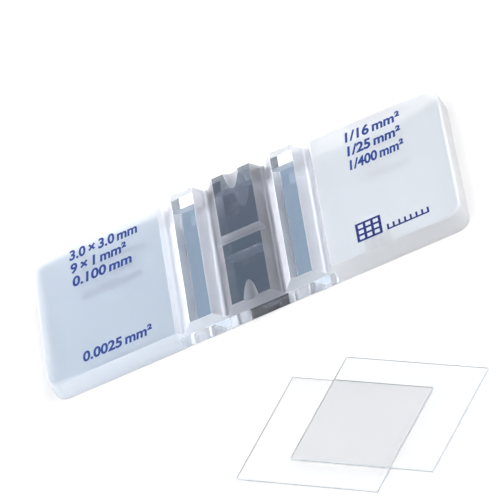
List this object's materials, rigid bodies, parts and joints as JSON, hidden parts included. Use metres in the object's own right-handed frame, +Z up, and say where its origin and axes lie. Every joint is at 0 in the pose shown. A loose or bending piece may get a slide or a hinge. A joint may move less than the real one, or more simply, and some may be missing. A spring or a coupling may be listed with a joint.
{
  "type": "hemocytometer",
  "caption": "Ground glass counting chamber slide with mirrored counting platforms, raised cover-glass supports, deep cross grooves, enamelled legends and loose cover glasses.",
  "frame": {"origin": "centre of the slide's underside", "axes": "+X along the slide towards the emblem end, -Y towards the front edge, +Z up out of the counting face"},
  "size_m": [0.07, 0.0787, 0.0044],
  "materials": {
    "optical_glass": "polished faces, fine-ground grooves and edges",
    "mirror_film": "dark semi-mirrored metal film",
    "blue_enamel": "fired blue enamel print",
    "navy_enamel": "fired navy enamel print",
    "cover_glass": "polished, optically plane"
  },
  "bodies": {
    "slide": {"glass_slide": "optical_glass", "front_mirror_film": "mirror_film", "rear_mirror_film": "mirror_film", "upper_left_legend": "blue_enamel", "middle_left_legend": "blue_enamel", "depth_legend": "blue_enamel", "square_area_legend": "blue_enamel", "upper_right_legend": "blue_enamel", "middle_right_legend": "blue_enamel", "lower_right_legend": "blue_enamel", "grid_emblem": "navy_enamel", "scale_bar": "navy_enamel"},
    "lower_cover": {"lower_cover_glass": "cover_glass"},
    "upper_cover": {"upper_cover_glass": "cover_glass"}
  },
  "joints": [
    {"name": "lower_cover_lift", "type": "slide", "parent": "slide", "child": "lower_cover", "axis": [0, 0, 1], "range_m": [0, 0.02]},
    {"name": "upper_cover_lift", "type": "slide", "parent": "lower_cover", "child": "upper_cover", "axis": [0, 0, 1], "range_m": [0, 0.02]}
  ]
}
